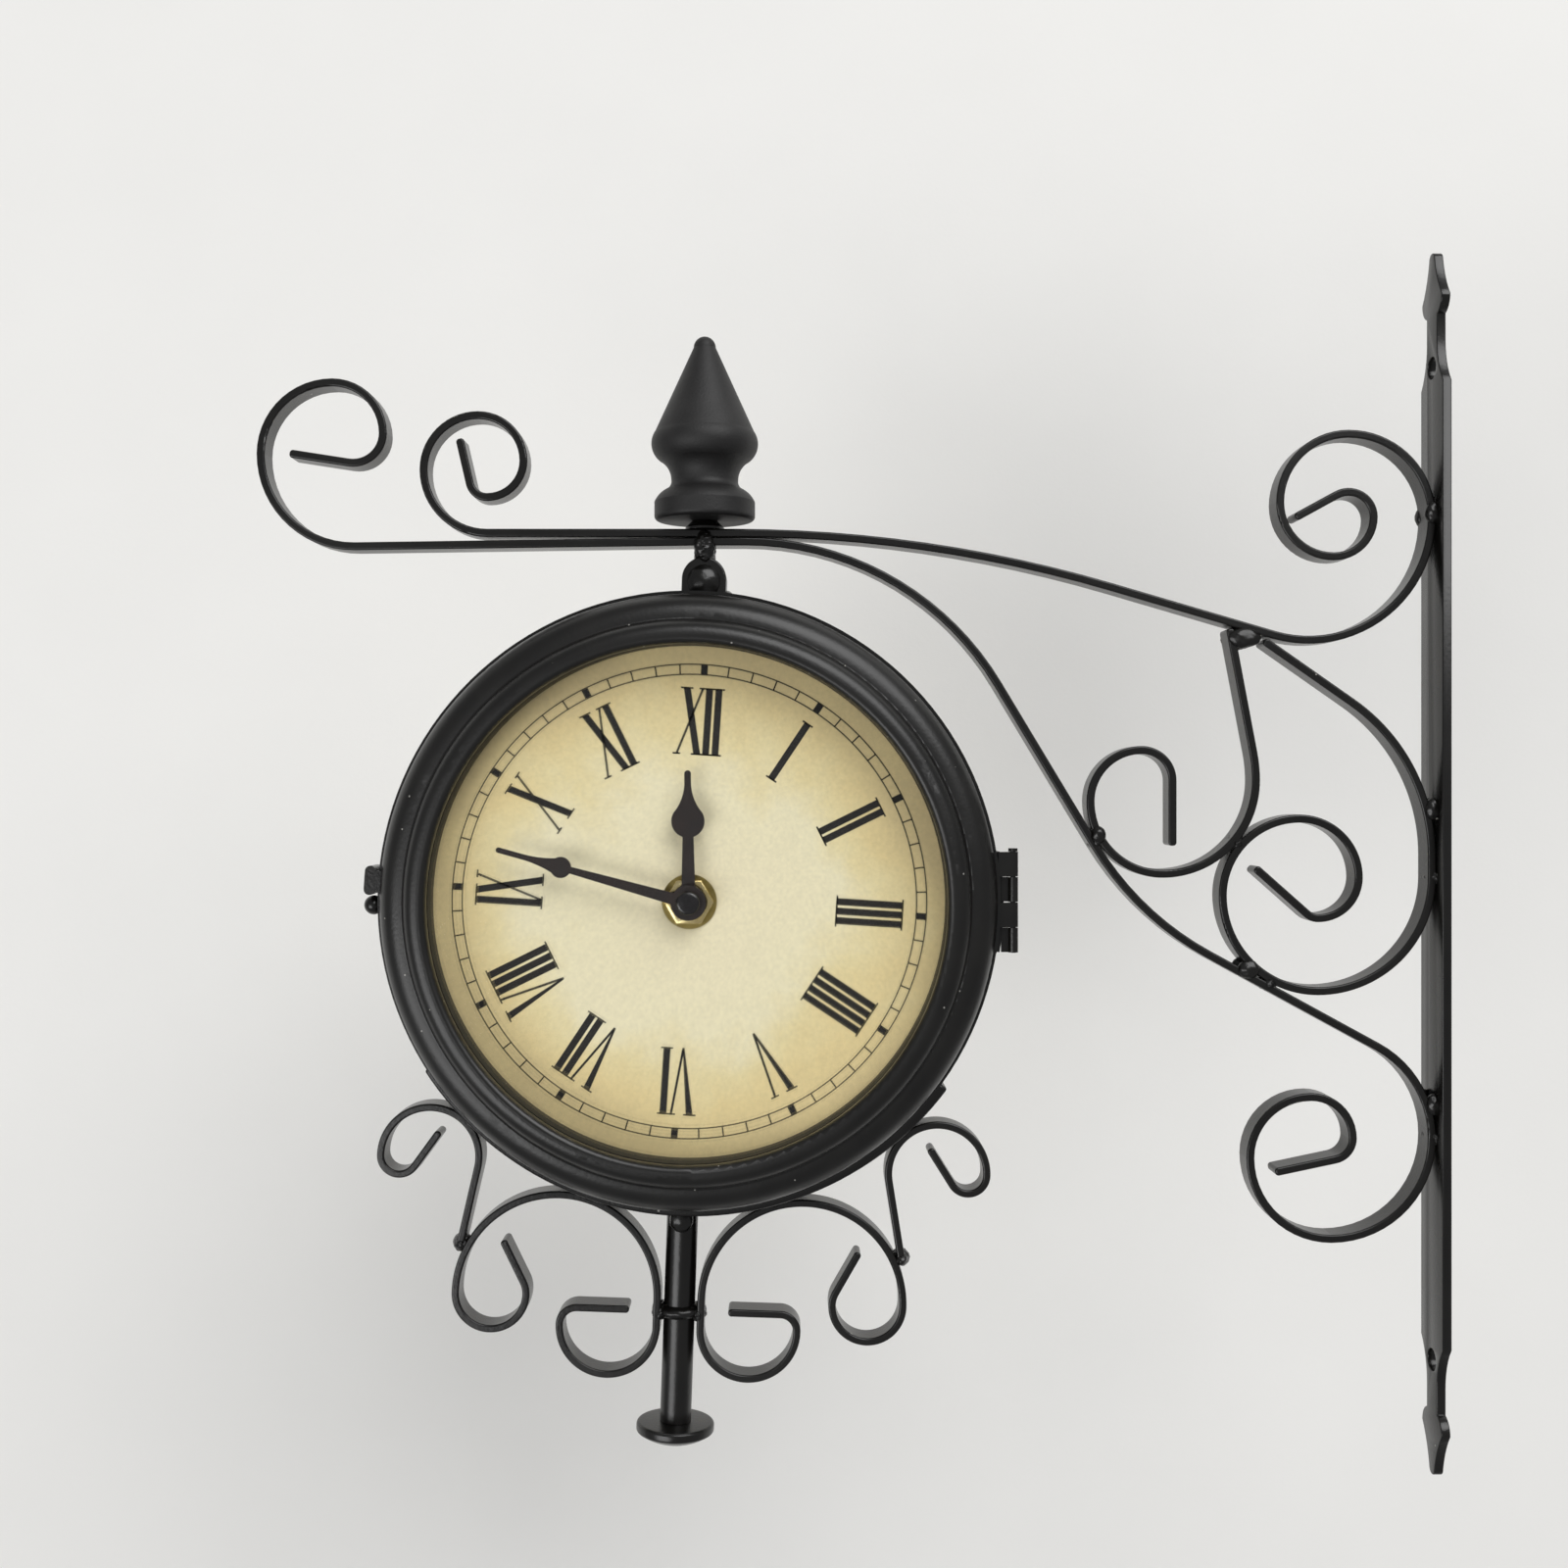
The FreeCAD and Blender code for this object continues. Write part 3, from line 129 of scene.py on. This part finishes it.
def grained(name, dark, light, grain, rough, relief, **settings):
    """Colour that drifts over a grain in millimetres, with a roughness range and a fine relief.

    The relief is a grain and a strength. With the material come its tree, shader, place, colour and normal.
    """
    made, tree, shader, place = finish_named(name, **settings)
    tint = ramp(tree, noise(tree, place, grain, 6.0), ((0.3, dark), (0.7, light)))
    tree.links.new(tint, shader.inputs["Base Color"])
    sheen = spread(tree, noise(tree, place, grain * 6, 4.0), *rough)
    tree.links.new(sheen, shader.inputs["Roughness"])
    size, strength = relief
    bump = {"Height": noise(tree, place, size, 2.0), "Strength": strength, "Distance": size * MM * 0.2}
    normal = add(tree, "ShaderNodeBump", bump).outputs["Normal"]
    tree.links.new(normal, shader.inputs["Normal"])
    return made, tree, shader, place, tint, normal


# The share of places that hold a speck of dust
DUST_SHARE = 0.22


def dusty(name, rough, spacing, size, code):
    """Satin black paint with sparse specks of dust: spacing and size in millimetres, and a colour."""
    made, tree, shader, place, tint, _ = grained(name, "#0A0908", "#12110F", 9, rough, (0.9, 0.2), IOR=1.47)
    cells = add(tree, "ShaderNodeTexVoronoi", {"Vector": place, "Scale": 1 / (spacing * MM)})
    near = maths(tree, "LESS_THAN", cells.outputs["Distance"], size / spacing)
    chance = add(tree, "ShaderNodeTexWhiteNoise", {"Vector": cells.outputs["Position"]}).outputs["Value"]
    kept = maths(tree, "LESS_THAN", chance, DUST_SHARE)
    sockets = {"Factor": maths(tree, "MULTIPLY", near, kept), "A": tint, "B": linear(code)}
    dust = add(tree, "ShaderNodeMix", sockets, data_type="RGBA").outputs["Result"]
    tree.links.new(dust, shader.inputs["Base Color"])
    return made


# Bent flat iron, stove painted: an even satin black with a fine orange peel and a little dust
IRON = dusty("satin_black_paint", (0.22, 0.32), 8, 0.3, "#A9A7A1")

# Pressed bezels in the same paint, handled more: a flatter sheen and more dust
BEZEL = dusty("dusty_satin_paint", (0.3, 0.4), 3.4, 0.24, "#8F8D88")

# Cast finial, brush painted: flatter black, with a mould line standing proud in the middle plane
SEAM_HALF = 0.35 * MM
SEAM_HEIGHT = 0.2 * MM
FINIAL, tree, shader, place, _, normal = grained("matt_black_casting", "#0D0C0C", "#171616", 5, (0.48, 0.62),
                                                 (0.6, 0.6), IOR=1.5)
depth = add(tree, "ShaderNodeSeparateXYZ", {"Vector": place}).outputs["Y"]
line = spread(tree, maths(tree, "ABSOLUTE", depth), low=1.0, high=0.0, start=0.0, end=SEAM_HALF)
seam = {"Height": line, "Strength": 0.6, "Distance": SEAM_HEIGHT, "Normal": normal}
tree.links.new(add(tree, "ShaderNodeBump", seam).outputs["Normal"], shader.inputs["Normal"])

# Pressed steel hands, lacquered a warm black, their polished caps, and the dial's ink
HAND, *_ = grained("lacquered_hand", "#140C0A", "#20130F", 4, (0.4, 0.5), (0.5, 0.2), IOR=1.45)
CAP, *_ = grained("polished_black_cap", "#121112", "#1A1819", 4, (0.14, 0.2), (0.5, 0.1), IOR=1.53)
INK, *_ = grained("printed_ink", "#100E0A", "#1C1813", 0.8, (0.6, 0.75), (0.3, 0.15), IOR=1.45)

# Bright brass plate, a little darker in patches, a duller one for the washers, and zinc plate
BRASS, *_ = grained("brass_plate", "#D6BD7C", "#EAD9A4", 3, (0.16, 0.3), (0.35, 0.15), Metallic=1.0)
WASHER, *_ = grained("dull_brass_plate", "#8C7A42", "#A8965C", 3, (0.26, 0.4), (0.35, 0.15), Metallic=1.0)
STEEL, *_ = grained("zinc_plated_steel", "#8C8D8E", "#A9AAAB", 3, (0.28, 0.42), (0.35, 0.2), Metallic=1.0)

# Matt black round the glass, moulded plastic and rubber, and the batteries' shrunk sleeve
RING, *_ = grained("matt_black_ring", "#151514", "#1E1E1C", 5, (0.62, 0.74), (0.5, 0.3), IOR=1.47)
PLASTIC, *_ = grained("moulded_black_plastic", "#141415", "#1D1D1E", 6, (0.5, 0.6), (0.35, 0.5), IOR=1.53)
RUBBER, *_ = grained("moulded_rubber", "#171716", "#222120", 2, (0.75, 0.88), (0.5, 0.5), IOR=1.52)
SLEEVE, *_ = grained("battery_sleeve", "#14332C", "#1A3D35", 8, (0.25, 0.32), (1.5, 0.1), IOR=1.5)

# Float glass: clear, and thin enough to show only its surface shine
GLASS, tree, shader, place = finish_named("float_glass", IOR=1.5, Alpha=0.1, Transmission_Weight=1.0,
                                          Base_Color=linear("#F4F7F5"))
haze = spread(tree, noise(tree, place, grain=22, detail=5.0), low=0.02, high=0.14, end=0.8)
tree.links.new(haze, shader.inputs["Roughness"])

# Printed dial paper: cream in the middle, golden towards the rim, with faint cloudy stains and a paper tooth
PAPER_REACH = 70 * MM
PAPER_STAIN = 60 * MM
PAPER_STOPS = ((0.0, "#EAE0BE"), (0.46, "#EAE1BD"), (0.66, "#E4D5A3"), (0.82, "#E2CE97"), (1.0, "#D9C592"))
PAPER, tree, shader, place = finish_named("printed_dial_paper", IOR=1.45, Roughness=0.62)
flat = add(tree, "ShaderNodeMapping", {"Vector": place, "Location": (-AXIS_X, 0, -AXIS_Z)}).outputs["Vector"]
flat = add(tree, "ShaderNodeVectorMath", {0: flat, 1: (1, 0, 1)}, operation="MULTIPLY").outputs["Vector"]
reach = add(tree, "ShaderNodeVectorMath", {0: flat}, operation="LENGTH").outputs["Value"]
stain = noise(tree, place, grain=32, detail=5.0, Roughness=0.6)
shift = maths(tree, "MULTIPLY_ADD", stain, PAPER_STAIN, -PAPER_STAIN / 2)
tone = ramp(tree, maths(tree, "DIVIDE", maths(tree, "ADD", reach, shift), PAPER_REACH), PAPER_STOPS)
tooth = noise(tree, place, grain=0.9, detail=8.0)
shade = spread(tree, tooth, low=0.93, high=1.04)
paper = add(tree, "ShaderNodeVectorMath", {0: tone, 1: shade}, operation="MULTIPLY")
tree.links.new(paper.outputs["Vector"], shader.inputs["Base Color"])
raised = add(tree, "ShaderNodeBump", {"Height": tooth, "Strength": 0.2, "Distance": 0.1 * MM})
tree.links.new(raised.outputs["Normal"], shader.inputs["Normal"])

FINISHES = {"black_iron": IRON, "finial_black": FINIAL, "glass": GLASS, "dial_paper": PAPER,
            "movement_plastic": PLASTIC, "hand_black": HAND, "brass": BRASS, "steel": STEEL,
            "battery_label": SLEEVE, "rubber": RUBBER}
SPECIAL = {"brass_washers": WASHER, "front_glass_ring": RING, "rear_glass_ring": RING, "front_bezel": BEZEL,
           "rear_bezel": BEZEL}
for part in frame["record"]["subparts"]:
    coats = nodes[part["node"]].data.materials
    coats.clear()
    coats.append(SPECIAL.get(part["node"], FINISHES[part["material_slot"]]))


# Modelling

def alone(piece):
    """Only this piece is selected."""
    bpy.ops.object.select_all(action="DESELECT")
    piece.select_set(True)
    bpy.context.view_layer.objects.active = piece


def joined(pieces, name):
    """Several pieces made into one."""
    alone(pieces[0])
    for piece in pieces:
        piece.select_set(True)
    bpy.ops.object.join()
    made = bpy.context.object
    made.name = name
    return made


def settle(piece, place=(0, 0, 0), turn=(0, 0, 0)):
    """Turns and moves a piece, then takes its place into its mesh."""
    alone(piece)
    piece.rotation_euler = turn
    piece.location = place
    bpy.ops.object.transform_apply(location=True, rotation=True, scale=True)
    return piece


def copied(piece, name):
    """A second piece with a mesh of its own."""
    made = piece.copy()
    made.data = piece.data.copy()
    made.name = name
    bpy.context.scene.collection.objects.link(made)
    return made


def cleaned(node, ending, gap):
    """A free copy of a node in edit mode, all selected, with points merged within a gap in millimetres."""
    made = copied(nodes[node], node + ending)
    made.parent = None
    alone(made)
    bpy.ops.object.mode_set(mode="EDIT")
    bpy.ops.mesh.select_all(action="SELECT")
    bpy.ops.mesh.remove_doubles(threshold=gap * MM)
    return made


def pick(piece, kind, wanted):
    """Selects the vertices or polygons that are wanted, and goes into edit mode."""
    bpy.ops.object.mode_set(mode="EDIT")
    bpy.ops.mesh.select_all(action="DESELECT")
    bpy.ops.object.mode_set(mode="OBJECT")
    for item in getattr(piece.data, kind):
        item.select = wanted(item)
    bpy.ops.object.mode_set(mode="EDIT")


# Dial print: condensed numerals that stand on the centre, and a minute track of two lines. In millimetres.

FOOT, HEAD = 37.8, 55.2
THICK, THIN, SERIF = 1.8, 0.6, 0.42
# A letter's strokes: across at the foot and at the head, width, and the share of the width at the foot.
# Then its serifs: across, at the foot or the head, and width.
LETTERS = {
    "I": (((0, 0, THICK, 1.0),),
          ((0, FOOT + SERIF / 2, 3.1), (0, HEAD - SERIF / 2, 3.1))),
    "V": (((0.25, -2.3, THICK, 0.25), (0.3, 2.5, THIN, 1.0)),
          ((-2.3, HEAD - SERIF / 2, 3.2), (2.5, HEAD - SERIF / 2, 2.2))),
    "X": (((1.9, -1.7, THICK, 1.0), (-3.4, 2.5, THIN, 1.0)),
          ((-1.7, HEAD - SERIF / 2, 3.2), (1.9, FOOT + SERIF / 2, 3.2), (2.5, HEAD - SERIF / 2, 2.0),
           (-3.4, FOOT + SERIF / 2, 2.0))),
}
# Half the room that a letter takes
REACH = {"I": 1.22, "V": 3.3, "X": 2.9}
NUMERALS = ("XII", "I", "II", "III", "IIII", "V", "VI", "VII", "VIII", "IX", "X", "XI")
TRACK = (58.6, 61.2)
TRACK_LINE = 0.17
TICK, HOUR_TICK = 0.36, 1.75
PRINT_TURN = 3.7
FILM = 0.03
PRINT_LIFT = 0.04


def stroke(low, high, width, tip=1.0):
    """One printed stroke of a numeral: a flat strip whose two ends slide sideways.

    The low end is drawn in to a share of the width.
    """
    bpy.ops.object.select_all(action="DESELECT")
    middle = ((low[0] + high[0]) / 2, (low[1] + high[1]) / 2)
    bpy.ops.mesh.primitive_plane_add(size=1, location=(middle[0], middle[1], 0))
    made = bpy.context.object
    made.scale = (width, high[1] - low[1], 1)
    bpy.ops.object.transform_apply(location=True, scale=True)
    lean = (high[0] - low[0]) / 2
    pick(made, "vertices", lambda point: point.co.y > middle[1])
    bpy.ops.transform.translate(value=(lean, 0, 0))
    bpy.ops.object.mode_set(mode="OBJECT")
    pick(made, "vertices", lambda point: point.co.y <= middle[1])
    bpy.ops.transform.translate(value=(-lean, 0, 0))
    bpy.ops.transform.resize(value=(tip, 1, 1), center_override=(low[0], low[1], 0))
    bpy.ops.object.mode_set(mode="OBJECT")
    return made


def letter(sign, x):
    """The strokes and serifs of one letter about a middle line."""
    strokes, serifs = LETTERS[sign]
    made = [stroke((x + foot, FOOT), (x + head, HEAD), width, tip) for foot, head, width, tip in strokes]
    for across, y, width in serifs:
        made.append(stroke((x + across, y - SERIF / 2), (x + across, y + SERIF / 2), width))
    return made


def ring(radius):
    """One line of the minute track."""
    bpy.ops.object.select_all(action="DESELECT")
    bpy.ops.mesh.primitive_circle_add(vertices=240, radius=radius - TRACK_LINE)
    bpy.ops.object.mode_set(mode="EDIT")
    bpy.ops.mesh.select_all(action="SELECT")
    bpy.ops.mesh.extrude_region()
    grow = (radius + TRACK_LINE) / (radius - TRACK_LINE)
    bpy.ops.transform.resize(value=(grow, grow, 1))
    bpy.ops.mesh.normals_make_consistent(inside=False)
    bpy.ops.object.mode_set(mode="OBJECT")
    return bpy.context.object


def dial_print():
    """The front dial's print about its own centre, as a thin film of ink."""
    marks = []
    for hour, text in enumerate(NUMERALS):
        x = -sum(REACH[sign] for sign in text)
        strokes = []
        for sign in text:
            strokes += letter(sign, x + REACH[sign])
            x += 2 * REACH[sign]
        marks.append(settle(joined(strokes, "numeral"), turn=(0, 0, -math.radians(hour * 30 + PRINT_TURN))))
    for minute in range(60):
        tick = stroke((0, TRACK[0]), (0, TRACK[1]), TICK if minute % 5 else HOUR_TICK)
        marks.append(settle(tick, turn=(0, 0, -math.radians(minute * 6 + PRINT_TURN))))
    marks += [ring(radius) for radius in TRACK]
    made = joined(marks, "front_dial_print")
    made.scale = (MM, MM, MM)
    alone(settle(made))
    film = made.modifiers.new("film", "SOLIDIFY")
    film.thickness = FILM * MM
    bpy.ops.object.modifier_apply(modifier=film.name)
    return made


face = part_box("front_dial")[0][1]
printed = dial_print()
settle(printed, (AXIS_X, face - PRINT_LIFT * MM, AXIS_Z), (math.pi / 2, 0, 0))
other = settle(copied(printed, "rear_dial_print"), (2 * AXIS_X, 0, 0), (0, 0, math.pi))
for piece in (printed, other):
    piece.data.materials.append(INK)
    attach(piece, "bracket")


# Weld beads: uneven lumps in place of the smooth ones, and larger runs where the paint has filled the corners

lumps = bpy.data.textures.new("weld_ripple", "CLOUDS")
lumps.noise_scale = 1.6 * MM


def roughened(bead, height):
    """Ripples a bead's skin by a height in millimetres."""
    alone(bead)
    ripple = bead.modifiers.new("ripple", "DISPLACE")
    ripple.texture = lumps
    ripple.texture_coords = "LOCAL"
    ripple.strength = height * MM
    ripple.mid_level = 0.55
    bpy.ops.object.modifier_apply(modifier=ripple.name)
    bpy.ops.object.shade_smooth()
    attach(bead, "bracket")


for node in ("bracket_welds", "ornament_welds"):
    bead = cleaned(node, "_lumps", 0.01)
    bpy.ops.mesh.subdivide(number_cuts=1)
    bpy.ops.object.mode_set(mode="OBJECT")
    roughened(bead, 1.0)
    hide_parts(node)

# Middle and half sizes in millimetres
RUNS = [
    # Inside the lug and at its feet
    ((-199.1, -2.4, 75.9), (5.4, 4.6, 5.5)), ((-199.1, 2.4, 75.9), (5.4, 4.6, 5.5)),
    ((-205.4, 0, 72.0), (1.9, 4.6, 1.7)), ((-193.0, 0, 72.0), (1.9, 4.6, 1.7)),
    # Under the strips, across the post and at its top
    ((-199.0, 0, 82.6), (3.0, 4.6, 2.6)), ((-205.9, 0, -120.4), (6.3, 5.7, 2.5)),
    ((-205.1, -4.0, -95.2), (3.2, 2.4, 3.4)), ((-205.1, 4.0, -95.2), (3.2, 2.4, 3.4)),
]
# Lumps on both edges of the strips, as across, up and half sizes: three on the bar, one under the arm and two
# on the brace
LUMP_SIDES = (-3.6, 3.6)
LUMP_DEPTH = 1.7
LUMPS = ((-3.4, 94.3, 2.3, 3.1), (-3.5, 14.8, 2.4, 3.0), (-3.2, -64.5, 2.2, 3.0),
         (-54.1, 60.8, 4.5, 2.7), (-93.3, 8.0, 2.1, 2.4), (-52.9, -28.2, 3.0, 2.6))
for x, z, wide, tall in LUMPS:
    RUNS += [((x, y, z), (wide, LUMP_DEPTH, tall)) for y in LUMP_SIDES]
runs = []
for middle, half in RUNS:
    bpy.ops.object.select_all(action="DESELECT")
    bpy.ops.mesh.primitive_uv_sphere_add(segments=48, ring_count=24, radius=MM)
    bpy.context.object.scale = half
    runs.append(settle(bpy.context.object, [along * MM for along in middle]))
filled = joined(runs, "paint_filled_welds")
filled.data.materials.append(IRON)
roughened(filled, 0.5)


# Sharp corners eased as the dies and the paint leave them: the width in millimetres

EASED = (("dial_nuts", 0.4, "brass"), ("post_foot", 0.9, "black_iron"), ("cradle_strap", 0.8, "black_iron"),
         ("wall_bar", 0.45, "black_iron"))
for node, width, slot in EASED:
    eased = cleaned(node, "_eased", 0.001)
    bpy.ops.mesh.dissolve_limited(angle_limit=math.radians(0.5))
    bpy.ops.object.mode_set(mode="OBJECT")
    ease = eased.modifiers.new("ease", "BEVEL")
    ease.width = width * MM
    ease.segments = 3
    ease.limit_method = "ANGLE"
    ease.angle_limit = math.radians(40)
    bpy.ops.object.modifier_apply(modifier=ease.name)
    bpy.ops.object.shade_smooth_by_angle(angle=math.radians(35))
    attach(eased, "bracket")
    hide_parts(node)


# A domed cap in place of each flat one

CAP_RADIUS = 3.1 * MM
CAP_ROUND = 0.9 * MM
for side in SIDES:
    low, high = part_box(side + "_hand_cap")
    bpy.ops.object.select_all(action="DESELECT")
    bpy.ops.mesh.primitive_cylinder_add(vertices=64, radius=CAP_RADIUS, depth=high[1] - low[1])
    cap = bpy.context.object
    cap.name = side + "_hand_cap_domed"
    pick(cap, "polygons", lambda panel: panel.normal.z > 0.9)
    bpy.ops.mesh.bevel(offset=CAP_ROUND, segments=6, affect="EDGES")
    bpy.ops.object.mode_set(mode="OBJECT")
    bpy.ops.object.shade_smooth_by_angle(angle=math.radians(40))
    outward = math.pi / 2 if side == "front" else -math.pi / 2
    settle(cap, (AXIS_X, (low[1] + high[1]) / 2, AXIS_Z), (outward, 0, 0))
    cap.data.materials.append(CAP)
    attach(cap, side + "_minute")
    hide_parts(side + "_hand_cap")


# Studio: a pale wall behind, a broad soft light from the upper right, and a weaker one low on the left.
# The wall shows on its front only, so that the clock can be seen from behind.

WALL_SIZE = 14
WALL_PLACE = (-0.2, 0.2, 0)
bpy.ops.object.select_all(action="DESELECT")
bpy.ops.mesh.primitive_plane_add(size=WALL_SIZE, location=WALL_PLACE, rotation=(math.pi / 2, 0, 0))
wall = bpy.context.object
wall.name = "backdrop"
WALL, tree, shader, *_ = grained("painted_wall", "#EBEAE7", "#EDECE9", 60, (0.8, 0.9), (1.5, 0.1))
behind = add(tree, "ShaderNodeNewGeometry", {}).outputs["Backfacing"]
clear = add(tree, "ShaderNodeBsdfTransparent", {}).outputs["BSDF"]
faced = add(tree, "ShaderNodeMixShader", {0: behind, 1: shader.outputs["BSDF"], 2: clear})
tree.links.new(faced.outputs["Shader"], tree.nodes["Material Output"].inputs["Surface"])
wall.data.materials.append(WALL)

# Place in metres, turn in degrees, size in metres and power in watts
LAMPS = {"key": ((0.9, -2.0, 2.0), (48.7, 0, 28.9), (2.4, 2.0), 69),
         "fill": ((-1.5, -2.0, -0.8), (108.5, 0, -33.0), (1.6, 1.2), 26)}
for name, (place, turn, size, power) in LAMPS.items():
    light = bpy.data.lights.new(name, "AREA")
    light.shape = "RECTANGLE"
    light.size, light.size_y = size
    light.energy = power
    lamp = bpy.data.objects.new(name, light)
    bpy.context.scene.collection.objects.link(lamp)
    lamp.location = place
    lamp.rotation_euler = [math.radians(angle) for angle in turn]

world = bpy.data.worlds.new("studio")
bpy.context.scene.world = world
world.use_nodes = True
sky = world.node_tree.nodes["Background"].inputs
sky["Color"].default_value = linear("#F2F3F5")
sky["Strength"].default_value = 0.34
